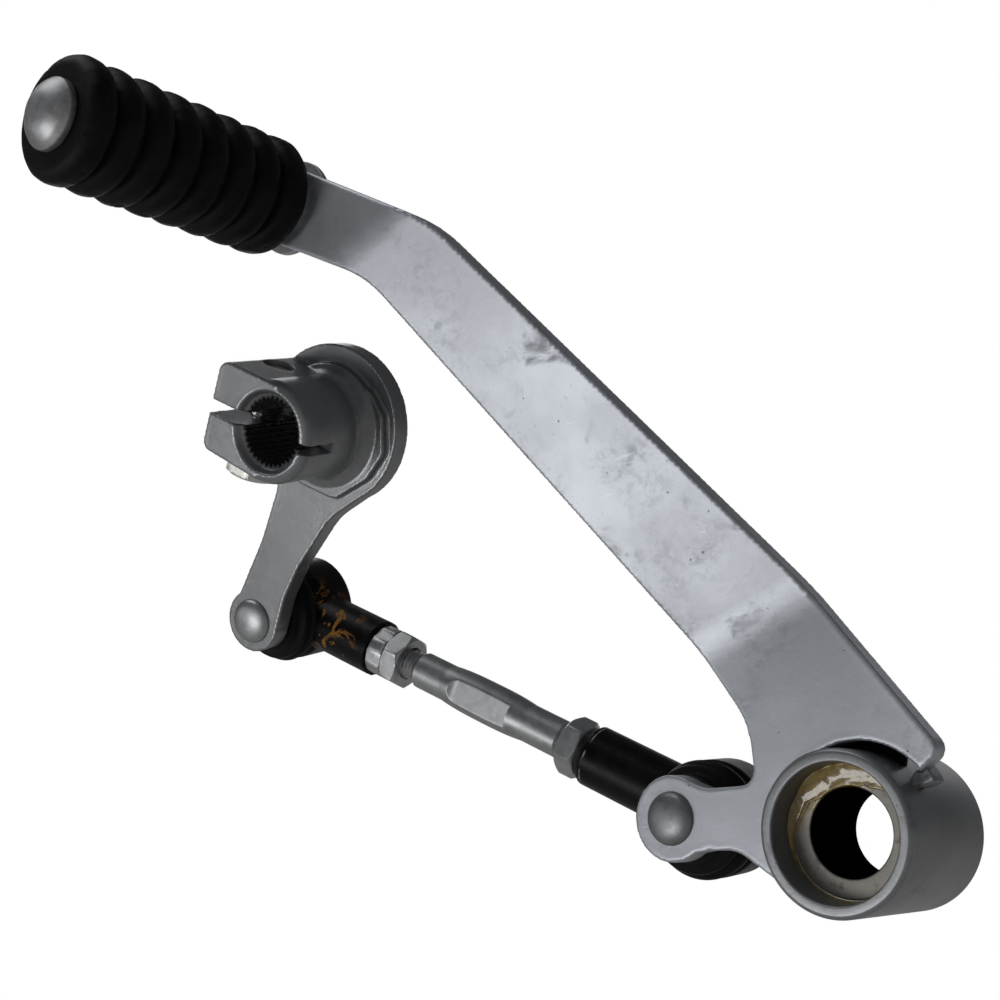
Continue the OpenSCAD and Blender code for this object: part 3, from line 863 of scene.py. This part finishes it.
def rubber_profile(ribs=6, per_rib=18):
    """Outline of the rubber: a thick ring at each end and ribs between narrow grooves."""
    groove, end_round = 2.0, 1.7
    length = rubber_back - rubber_front
    front_ring, back_ring = 0.115 * length, 0.135 * length
    pitch = (length - front_ring - back_ring) / ribs
    edges = [0.0, front_ring] + [front_ring + pitch * (k + 1) for k in range(ribs)] + [length]
    last = len(edges) - 2
    points = []
    for k, (a, b) in enumerate(zip(edges[:-1], edges[1:])):
        for i in range(per_rib + (1 if k == last else 0)):
            t = i / per_rib
            u = abs(2 * t - 1)
            if k == 0 and t < 0.5 or k == last and t > 0.5:
                drop = end_round * u**2.8
            else:
                drop = groove * u ** (4.0 if k in (0, last) else 2.6)
            points.append((rubber_r - drop, rubber_front + a + (b - a) * t))
    return points


def rubber_shape(r, y, a):
    """Radius of the rubber with its waves and torn nicks."""
    if r < core_r + 1:
        return r
    wobble = 0.16 * fractal((math.cos(a) * 2.2, y * 0.12, math.sin(a) * 2.2), 1.0)
    nick = fractal((math.cos(a) * 5 + 9, y * 0.5, math.sin(a) * 5), 1.1)
    torn = 0.55 * max(0.0, nick - 0.42)
    return min(rubber_r, r - 0.12 + wobble) - torn


rubber_points = [(core_r, rubber_front)] + rubber_profile() + [(core_r, rubber_back)]
rubber_points = dense(rubber_points[:2], 1.0) + rubber_points[2:-1] + dense(rubber_points[-2:], 1.0)[1:]
finish_piece(
    turned("peg_rubber_ribbed", rubber_points, AT_PEG, True, 180, rubber_shape),
    "peg_rubber", PEG_RUBBER, angle=50,
)

# ---------------------------------------------------------------- ball joints

STUD_REACH = 14.9
SHOULDER = PLATE_T - STUD_REACH
BALL_R = 5.0


def stud_profile():
    """Outline of a ball stud: riveted dome, neck through the eye, shoulder, thin neck and ball."""
    dome_r, dome_h, eye_r, shoulder_r, thin_r = 4.5, 1.75, 3.4, 4.2, 2.8
    dome = []
    for t in np.linspace(0, math.pi / 2, 16):
        rise = math.cos(t) ** 0.85 if t < math.pi / 2 else 0
        dome.append((dome_r * math.sin(t), -STUD_REACH - dome_h * rise))
    ball = [(BALL_R * math.sin(t), -BALL_R * math.cos(t)) for t in np.linspace(0.6, math.pi, 22)]
    neck = [
        (eye_r, -STUD_REACH), (eye_r, SHOULDER), (shoulder_r, SHOULDER),
        (shoulder_r, SHOULDER + 1), (thin_r, SHOULDER + 1),
    ]
    return dome + neck + ball


for side, matrix, stud_steel, black in (
    ("lever", LEVER_STUD, STUD, HOUSING), ("arm", ARM_STUD, ARM_STUD_STEEL, HOUSING_SMEARED)
):
    finish_piece(
        turned(f"{side}_ball_stud_riveted", stud_profile(), matrix, segments=80),
        f"{side}_ball_stud", stud_steel, angle=38,
    )
    seat = frame["nodes"][f"{side}_ball_seat"]
    seat.data.materials.clear()
    seat.data.materials.append(SEAT)
    housing = forged(f"{side}_ball_housing_forged", f"{side}_ball_housing", 0.32, 5)
    finish_piece(housing, f"{side}_ball_housing", black, angle=None)

CAP_R, CAP_BACK, CAP_DISH = 7.0, 6.95, 6.0
for side, matrix in (("lever", LEVER_JOINT), ("arm", ARM_JOINT)):
    finish_piece(
        turned(
            f"{side}_housing_cap_pressed",
            rounded([
                (0, CAP_DISH, 0), (4.6, CAP_DISH, 0.5), (5.4, CAP_BACK, 0.5), (CAP_R, CAP_BACK, 0.35),
                (CAP_R, 4.6, 0.1), (5.6, 4.5, 0.1), (5.0, 5.3, 0.3), (0, 5.3, 0),
            ], closed=False),
            matrix, segments=96,
        ),
        f"{side}_housing_cap", CAP, angle=40,
    )


def boot_rings(ball, mouth, stud, count=128):
    """A bellows boot from the housing's mouth (axis mouth) to the stud's shoulder (axis stud).

    outer and inner are [share of the way, radius]; the boot is about length mm long.
    """
    outer = [
        (0.0, 8.6), (0.0, 9.7), (0.06, 10.15), (0.14, 10.2), (0.22, 9.9), (0.3, 9.0),
        (0.36, 8.7), (0.42, 9.0), (0.5, 9.35), (0.58, 9.1), (0.66, 8.0), (0.71, 7.5),
        (0.76, 7.5), (0.84, 7.3), (0.9, 6.6), (0.95, 5.6), (1.0, 5.4), (1.0, 4.3),
    ]
    inner = [
        (0.93, 4.3), (0.88, 5.4), (0.78, 6.6), (0.68, 6.8), (0.56, 8.0),
        (0.42, 8.0), (0.34, 7.8), (0.2, 8.9), (0.1, 8.8),
    ]
    start, end, length = -4.95, SHOULDER + 0.15, 6
    rings = []
    for along, r in dense([(t * length, r) for t, r in outer + inner + [outer[0]]], 0.35)[:-1]:
        t = along / length
        axis = (mouth * (1 - t) + stud * t).normalized()
        x = square_to(ROD_DIR, axis)
        z = x.cross(axis)
        centre = ball / MM + axis * (start + (end - start) * t)
        angles = np.arange(count) * TAU / count
        rings.append([centre + (x * math.cos(a) + z * math.sin(a)) * r for a in angles])
    return rings


for side, ball, mouth, stud in (
    ("lever", LEVER_BALL, LEVER_JOINT.col[1].to_3d(), Y_AXIS),
    ("arm", ARM_BALL, ARM_JOINT.col[1].to_3d(), ARM_AXIS),
):
    boot = skin(f"{side}_dust_boot_bellows", boot_rings(ball, mouth, stud), None, True)
    finish_piece(boot, f"{side}_dust_boot", BOOT, body="", angle=None)
    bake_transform(boot)

# ---------------------------------------------------------------- tie rod and nuts, +X from the lower ball

ROD_L = (ARM_BALL - LEVER_BALL).length / MM
LEVER_SHANK, ARM_SHANK = 27.0, 23.7
BODY_START, BODY_END = LEVER_SHANK + 6.4, ROD_L - ARM_SHANK - 10.9
FLAT_START, FLAT_END, FLAT = 45.3, 58.6, 3.3
THREAD_R, PITCH = 2.95, 1.0


def thread_radius(x, a):
    """Radius of a screw thread at x and angle a."""
    phase = (x / PITCH - a / TAU) % 1.0
    return THREAD_R - 0.5 * abs(2 * phase - 1) ** 1.3


def rod_radius(x):
    """Radius of the rod's turned body at x, or None on the thread."""
    if x < BODY_START or x > BODY_END:
        return None
    chamfer = min(x - BODY_START, BODY_END - x)
    body = 3.65 - max(0.0, 0.45 - chamfer)
    middle, reach = (FLAT_START + FLAT_END) / 2, (FLAT_END - FLAT_START) / 2 + 3.2
    swell = max(0.0, 1 - abs((x - middle) / reach) ** 3)
    return body + 0.45 * swell


def rod_flat(x):
    """Half the thickness over the wrench flats at x: a square step at one end and a run-out at the other."""
    if x < FLAT_START or x > FLAT_END + 1.4:
        return 9.0
    if x <= FLAT_END - 0.6:
        return FLAT
    run = (x - FLAT_END + 0.6) / 2.0
    return FLAT + 0.75 * run**2


def rod_rings():
    """Rings of the tie rod: thread, body with its chamfers and flats, thread."""
    start, end, step = FLAT_START, FLAT_END, 0.11
    xs = list(np.arange(LEVER_SHANK - 8, BODY_START, step))
    xs += [BODY_START + 0.001] + list(np.linspace(BODY_START + 0.12, start - 1.3, 24))
    xs += [start - 1.1001, start - 1.1, start - 0.95, start - 0.8, start - 0.4, start - 0.001]
    xs += list(np.linspace(start, end - 0.6, 22)) + list(np.linspace(end - 0.4, end + 1.1, 14))
    xs += [end + 1.1001] + list(np.linspace(end + 1.3, BODY_END - 0.12, 20)) + [BODY_END]
    xs += list(np.arange(BODY_END + 0.002, ROD_L - ARM_SHANK + 8, step))
    angles = np.arange(96) * TAU / 96
    rings = []
    for x in xs:
        body, flat = rod_radius(x), rod_flat(x)
        ring = []
        for a in angles:
            r = thread_radius(x, a) if body is None else body
            ring.append((x, max(-flat, min(flat, r * math.cos(a))), r * math.sin(a)))
        rings.append(ring)
    return rings


finish_piece(skin("tie_rod_turned", rod_rings(), LEVER_JOINT), "tie_rod", ZINC, angle=32)

AF = 10.0  # across the flats of the M6 nuts and bolt
CORNER_R = AF / 2 / math.cos(math.pi / 6)
SHARP = CORNER_R + 0.05  # a round limit this wide leaves the corners alone


def hex_radius(a):
    return AF / 2 / math.cos((a + math.pi / 6) % (math.pi / 3) - math.pi / 6)


def ring_at(x, radius, count):
    """A ring about +X at x; radius(angle) gives its radius."""
    radii = [(TAU * k / count, radius(TAU * k / count)) for k in range(count)]
    return [(x, r * math.cos(a), r * math.sin(a)) for a, r in radii]


def hex_rings(x0, x1, turn, collar=None, count=144, steps=6):
    """Rings of a chamfered hexagon nut; collar = (radius, x end) adds a round collar after x1."""
    chamfer, low, bore, countersink = 0.75, AF / 2 * 0.97, 3.0, 0.45
    stations = [(x0, low)]
    for k in range(1, steps + 1):
        stations.append((x0 + chamfer * k / steps, low + (SHARP - low) * k / steps))
    for k in range(steps + 1):
        stations.append((x1 - chamfer * (steps - k) / steps, SHARP - (SHARP - low) * k / steps))
    last = x1
    if collar:
        r, last = collar
        stations += [(x1 + 0.01, r - 0.25), (x1 + 0.25, r)]
        stations += [(last - 0.5, r), (last - 0.15, r - 0.15), (last, r - 0.5)]
    rings = [ring_at(x, lambda a: min(limit, hex_radius(a - turn)), count) for x, limit in stations]
    wide = bore + countersink
    for x, r in ((last, wide), (last - countersink, bore), (x0 + countersink, bore), (x0, wide)):
        rings.append(ring_at(x, lambda a: r, count))
    return rings


lever_nut_at = LEVER_SHANK + 1.4
arm_nut_end = ROD_L - ARM_SHANK
lever_nut = hex_rings(lever_nut_at, lever_nut_at + 4.2, math.radians(14))
arm_nut = hex_rings(arm_nut_end - 7.9, arm_nut_end - 3.8, math.radians(-13.5), (5.3, arm_nut_end - 0.02))
for side, rings in (("lever", lever_nut), ("arm", arm_nut)):
    nut = skin(f"{side}_lock_nut_hex", rings, LEVER_JOINT, True)
    finish_piece(nut, f"{side}_lock_nut", NUT, angle=24)

# ---------------------------------------------------------------- clamp arm and pinch bolt

HUB_FACE = SHAFT_AT - SHAFT_AXIS * (CLAMP_HALF + 1.6 * MM)


def about_hub(co):
    """How far points (in metres) lie behind the hub's face and from the shaft's axis, in mm."""
    axis = np.array(SHAFT_AXIS)
    away = co - np.array(HUB_FACE)
    along = away @ axis
    return along / MM, np.linalg.norm(away - along[:, None] * axis, axis=1) / MM


def arm_softness(co):
    """Less smoothing near the serrated bore and the slots."""
    radius = about_hub(co)[1]
    return np.clip((radius - 6.8) / 1.2, 0.12, 1.0)


def front_softness(co):
    """Extra smoothing of the hub's and the ears' front edges, outside the bore's mouth."""
    along, radius = about_hub(co)
    return np.clip((radius - 7.2) / 1.0, 0, 1) * np.clip((3.4 - along) / 1.2, 0, 1)


clamp_arm = forged("clamp_arm_forged", "clamp_arm", 0.24, 16, arm_softness)
relax(clamp_arm.data, 45, front_softness)
finish_piece(clamp_arm, "clamp_arm", ARM, angle=None)

BOLT_AT = Vector(JOINTS["pinch_bolt_turn"]["pos_m"])
BOLT_AXIS = Vector(JOINTS["pinch_bolt_turn"]["axis"]).normalized()
BOLT_FRAME = place(BOLT_AT, BOLT_AXIS, square_to(SHAFT_AXIS, BOLT_AXIS))
EAR_HALF = 9.2


def bolt_rings(count=96):
    """Rings of the pinch bolt: thread, washer face, hexagon head and its dish."""
    rings = []
    for x in np.arange(1 - EAR_HALF, EAR_HALF - 0.7, 0.12):
        rings.append(ring_at(x, lambda a: thread_radius(x, a), count))
    for past, limit in (
        (-0.59, 4.85), (-0.01, 4.85), (0.01, 5.3), (0.6, SHARP), (3.3, SHARP),
        (3.6, 5.45), (3.98, 4.9), (3.99, 4.2), (3.7, 3.6),
    ):
        rings.append(ring_at(EAR_HALF + past, lambda a: min(limit, hex_radius(a)), count))
    return rings


finish_piece(skin("pinch_bolt_hex", bolt_rings(), BOLT_FRAME), "pinch_bolt", BOLT, angle=28)

# ---------------------------------------------------------------- floor, light, camera

OBJECT_LOW, OBJECT_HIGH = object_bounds()
CENTRE = (OBJECT_LOW + OBJECT_HIGH) / 2
WHITE = (1, 1, 1, 1)


def floor_material():
    """Pale floor: white to the camera above it, and clear to all other light."""
    g = Graph("pale_floor")
    g.tree.nodes.remove(g.bsdf)
    geometry = g.tree.nodes.new("ShaderNodeNewGeometry")
    ray = g.tree.nodes.new("ShaderNodeLightPath")
    seen = g.tree.nodes.new("ShaderNodeEmission")
    seen.inputs[0].default_value = WHITE
    clear = g.tree.nodes.new("ShaderNodeBsdfTransparent")
    whole = g.tree.nodes.new("ShaderNodeMixShader")
    above = g.minus(1.0, geometry.outputs["Backfacing"])
    g.link(g.times(ray.outputs["Is Camera Ray"], above), whole.inputs[0])
    g.link(clear.outputs[0], whole.inputs[1])
    g.link(seen.outputs[0], whole.inputs[2])
    g.link(whole.outputs[0], g.out.inputs[0])
    return g.material


SWING_ROOM = 0.13  # metres; the rod and the arm swing below the boss at the joints' limits
FLOOR_HALF = 3.0  # metres
corners = [(x * FLOOR_HALF, y * FLOOR_HALF) for x, y in ((-1, -1), (1, -1), (1, 1), (-1, 1))]
floor = new_object("floor", [(x, y, OBJECT_LOW.z - SWING_ROOM) for x, y in corners], [(0, 1, 2, 3)])
if floor.data.polygons[0].normal.z < 0:
    floor.data.flip_normals()
floor.data.materials.append(floor_material())

TABLE_GLOW = (0.3, 0.297, 0.29, 1)
ROOM_GLOW = (0.1, 0.102, 0.106, 1)


def studio_world():
    """White to the camera; to the part a dim room above and a brighter table below the horizon."""
    world = bpy.data.worlds.new("studio")
    world.use_nodes = True
    nodes, links = world.node_tree.nodes, world.node_tree.links
    path = nodes.new("ShaderNodeLightPath")
    way = nodes.new("ShaderNodeTexCoord")
    split = nodes.new("ShaderNodeSeparateXYZ")
    rise = nodes.new("ShaderNodeMapRange")
    room, seen = nodes.new("ShaderNodeMix"), nodes.new("ShaderNodeMix")
    room.data_type = seen.data_type = "RGBA"
    rise.inputs["From Min"].default_value, rise.inputs["From Max"].default_value = -0.25, 0.15
    room.inputs[6].default_value, room.inputs[7].default_value = TABLE_GLOW, ROOM_GLOW
    seen.inputs[7].default_value = WHITE
    links.new(way.outputs["Generated"], split.inputs[0])
    links.new(split.outputs["Z"], rise.inputs["Value"])
    links.new(rise.outputs["Result"], room.inputs[0])
    links.new(room.outputs[2], seen.inputs[6])
    links.new(path.outputs["Is Camera Ray"], seen.inputs[0])
    links.new(seen.outputs[2], nodes["Background"].inputs[0])
    return world


bpy.context.scene.world = studio_world()


def softbox(name, direction, width, height, power, distance=0.8):
    """An area light that looks at the object's centre from a direction, out of the camera's sight."""
    light = bpy.data.lights.new(name, "AREA")
    light.shape = "RECTANGLE"
    light.size, light.size_y = width, height
    light.energy = power
    lamp = bpy.data.objects.new(name, light)
    away = Vector(direction).normalized()
    lamp.location = CENTRE + away * distance
    lamp.rotation_mode = "QUATERNION"
    lamp.rotation_quaternion = away.to_track_quat("Z", "Y")
    lamp.visible_camera = False
    bpy.context.scene.collection.objects.link(lamp)
    return lamp


softbox("key", (-0.38, -0.87, -0.31), 0.36, 0.26, 1.65)
softbox("top", (-0.35, -0.35, 1.0), 0.6, 0.4, 1.5)
softbox("side", (-0.75, -0.64, 0.08), 0.3, 0.2, 0.22)
softbox("rim", (-0.9, 0.6, 0.5), 0.4, 0.5, 1.2)
softbox("back", (-0.15, 0.95, 0.2), 0.6, 0.4, 0.45)

# the camera that was fitted to the photo: its right, up and back directions and its place in mm
CAMERA_RIGHT = Vector((0.76646294, 0.63774803, -0.07623651))
CAMERA_UP = Vector((0.21604262, -0.14420887, 0.96567561))
CAMERA_BACK = Vector((0.60486374, -0.75662491, -0.24831151))
CAMERA_AT = Vector((116.789, -234.554, -6.245))

camera_data = bpy.data.cameras.new("camera")
camera_data.sensor_width = 36.0
camera_data.lens = 56.27
camera_data.clip_start, camera_data.clip_end = 0.005, 20.0
camera = bpy.data.objects.new("camera", camera_data)
bpy.context.scene.collection.objects.link(camera)
camera.matrix_world = columns(CAMERA_RIGHT, CAMERA_UP, CAMERA_BACK, CAMERA_AT * MM)
bpy.context.scene.camera = camera
bpy.context.scene.view_settings.view_transform = "Standard"
